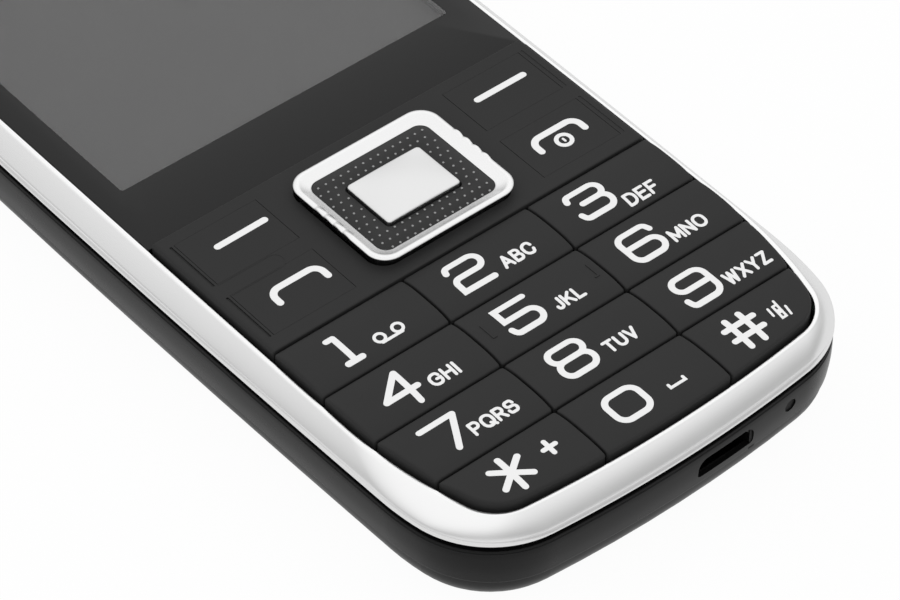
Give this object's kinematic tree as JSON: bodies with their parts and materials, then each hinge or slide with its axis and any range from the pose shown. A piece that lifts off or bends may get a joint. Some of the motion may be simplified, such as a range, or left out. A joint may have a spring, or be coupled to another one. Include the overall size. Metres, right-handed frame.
{
  "type": "feature phone",
  "caption": "Bar feature phone with a key pad, rocking navigation ring, display, sliding battery cover and all inner parts.",
  "frame": {"origin": "middle of the back, on the surface the phone lies on", "axes": "+X to the phone's right seen from the front, +Y towards the earpiece end, +Z out of the face"},
  "size_m": [0.0552, 0.135, 0.0132],
  "materials": {
    "cover_plastic": "fine matte grain",
    "frame_plastic": "satin",
    "housing_plastic": "matte",
    "bezel_silver": "silver, plated plastic, soft gloss",
    "lens": "polished",
    "tape": "matte film",
    "display": "screen glass, off",
    "tray": "white moulding",
    "key_plastic": "fine matte coat",
    "gimbal_plastic": "plain",
    "nav_silver": "silver, plated plastic, satin",
    "nav_plate_plastic": "matte with a dot pattern",
    "mat_rubber": "translucent silicone",
    "dome_steel": "bright",
    "circuit_board": "solder mask",
    "shield_steel": "tinned",
    "contact_gold": "gold plated",
    "battery_wrap": "label wrap",
    "speaker_plastic": "matte",
    "weight_metal": "sintered"
  },
  "bodies": {
    "phone_body": {"mid_frame": "frame_plastic", "front_housing": "housing_plastic", "antenna_carrier": "housing_plastic", "bezel_ring": "bezel_silver", "display_lens": "lens", "lens_tape": "tape", "dome_sheet": "tape", "lcd_panel": "display", "lcd_tray": "tray", "function_plate": "key_plastic", "keypad_mat": "mat_rubber", "key_domes": "dome_steel", "housing_screws": "dome_steel", "main_board": "circuit_board", "shield_cans": "shield_steel", "sim_holder": "shield_steel", "memory_card_holder": "shield_steel", "usb_socket": "shield_steel", "vibration_motor": "shield_steel", "earpiece_mesh": "shield_steel", "microphone": "shield_steel", "battery_contacts": "contact_gold", "antenna_strip": "contact_gold", "battery": "battery_wrap", "earpiece": "speaker_plastic", "loudspeaker": "speaker_plastic", "camera_module": "speaker_plastic"},
    "key_1": {"key_1": "key_plastic"},
    "key_2": {"key_2": "key_plastic"},
    "key_3": {"key_3": "key_plastic"},
    "key_4": {"key_4": "key_plastic"},
    "key_5": {"key_5": "key_plastic"},
    "key_6": {"key_6": "key_plastic"},
    "key_7": {"key_7": "key_plastic"},
    "key_8": {"key_8": "key_plastic"},
    "key_9": {"key_9": "key_plastic"},
    "key_star": {"key_star": "key_plastic"},
    "key_0": {"key_0": "key_plastic"},
    "key_hash": {"key_hash": "key_plastic"},
    "left_soft_key": {"left_soft_key": "key_plastic"},
    "call_key": {"call_key": "key_plastic"},
    "right_soft_key": {"right_soft_key": "key_plastic"},
    "end_key": {"end_key": "key_plastic"},
    "nav_gimbal": {"nav_gimbal": "gimbal_plastic"},
    "nav_ring": {"nav_ring": "nav_silver", "nav_plate": "nav_plate_plastic"},
    "ok_key": {"ok_key": "nav_silver"},
    "motor_weight": {"motor_weight": "weight_metal"},
    "battery_cover": {"battery_cover": "cover_plastic", "camera_window": "lens"}
  },
  "joints": [
    {"name": "key_1_press", "type": "slide", "parent": "phone_body", "child": "key_1", "axis": [0, 0, -1], "range_m": [0, 0.0004], "stiffness_N_per_m": 1500},
    {"name": "key_2_press", "type": "slide", "parent": "phone_body", "child": "key_2", "axis": [0, 0, -1], "range_m": [0, 0.0004], "stiffness_N_per_m": 1500},
    {"name": "key_3_press", "type": "slide", "parent": "phone_body", "child": "key_3", "axis": [0, 0, -1], "range_m": [0, 0.0004], "stiffness_N_per_m": 1500},
    {"name": "key_4_press", "type": "slide", "parent": "phone_body", "child": "key_4", "axis": [0, 0, -1], "range_m": [0, 0.0004], "stiffness_N_per_m": 1500},
    {"name": "key_5_press", "type": "slide", "parent": "phone_body", "child": "key_5", "axis": [0, 0, -1], "range_m": [0, 0.0004], "stiffness_N_per_m": 1500},
    {"name": "key_6_press", "type": "slide", "parent": "phone_body", "child": "key_6", "axis": [0, 0, -1], "range_m": [0, 0.0004], "stiffness_N_per_m": 1500},
    {"name": "key_7_press", "type": "slide", "parent": "phone_body", "child": "key_7", "axis": [0, 0, -1], "range_m": [0, 0.0004], "stiffness_N_per_m": 1500},
    {"name": "key_8_press", "type": "slide", "parent": "phone_body", "child": "key_8", "axis": [0, 0, -1], "range_m": [0, 0.0004], "stiffness_N_per_m": 1500},
    {"name": "key_9_press", "type": "slide", "parent": "phone_body", "child": "key_9", "axis": [0, 0, -1], "range_m": [0, 0.0004], "stiffness_N_per_m": 1500},
    {"name": "key_star_press", "type": "slide", "parent": "phone_body", "child": "key_star", "axis": [0, 0, -1], "range_m": [0, 0.0004], "stiffness_N_per_m": 1500},
    {"name": "key_0_press", "type": "slide", "parent": "phone_body", "child": "key_0", "axis": [0, 0, -1], "range_m": [0, 0.0004], "stiffness_N_per_m": 1500},
    {"name": "key_hash_press", "type": "slide", "parent": "phone_body", "child": "key_hash", "axis": [0, 0, -1], "range_m": [0, 0.0004], "stiffness_N_per_m": 1500},
    {"name": "left_soft_key_press", "type": "hinge", "parent": "phone_body", "child": "left_soft_key", "pos_m": [-0.0124, -0.01862, 0.0119], "axis": [0, -1, 0], "range_deg": [0, 1.8], "stiffness_Nm_per_rad": 0.06},
    {"name": "call_key_press", "type": "hinge", "parent": "phone_body", "child": "call_key", "pos_m": [-0.0124, -0.02785, 0.0119], "axis": [0, -1, 0], "range_deg": [0, 1.8], "stiffness_Nm_per_rad": 0.06},
    {"name": "right_soft_key_press", "type": "hinge", "parent": "phone_body", "child": "right_soft_key", "pos_m": [0.0124, -0.01862, 0.0119], "axis": [0, 1, 0], "range_deg": [0, 1.8], "stiffness_Nm_per_rad": 0.06},
    {"name": "end_key_press", "type": "hinge", "parent": "phone_body", "child": "end_key", "pos_m": [0.0124, -0.02785, 0.0119], "axis": [0, 1, 0], "range_deg": [0, 1.8], "stiffness_Nm_per_rad": 0.06},
    {"name": "nav_up_down", "type": "hinge", "parent": "phone_body", "child": "nav_gimbal", "pos_m": [0, -0.02355, 0.0104], "axis": [1, 0, 0], "range_deg": [-1.8, 1.8], "stiffness_Nm_per_rad": 0.05},
    {"name": "nav_left_right", "type": "hinge", "parent": "nav_gimbal", "child": "nav_ring", "pos_m": [0, -0.02355, 0.0104], "axis": [0, 1, 0], "range_deg": [-1.8, 1.8], "stiffness_Nm_per_rad": 0.05},
    {"name": "ok_key_press", "type": "slide", "parent": "phone_body", "child": "ok_key", "axis": [0, 0, -1], "range_m": [0, 0.0004], "stiffness_N_per_m": 1500},
    {"name": "motor_spin", "type": "hinge", "parent": "phone_body", "child": "motor_weight", "pos_m": [0.013, -0.047, 0.00325], "axis": [1, 0, 0], "continuous": true},
    {"name": "cover_slide", "type": "slide", "parent": "phone_body", "child": "battery_cover", "axis": [0, -1, 0], "range_m": [0, 0.006]}
  ]
}
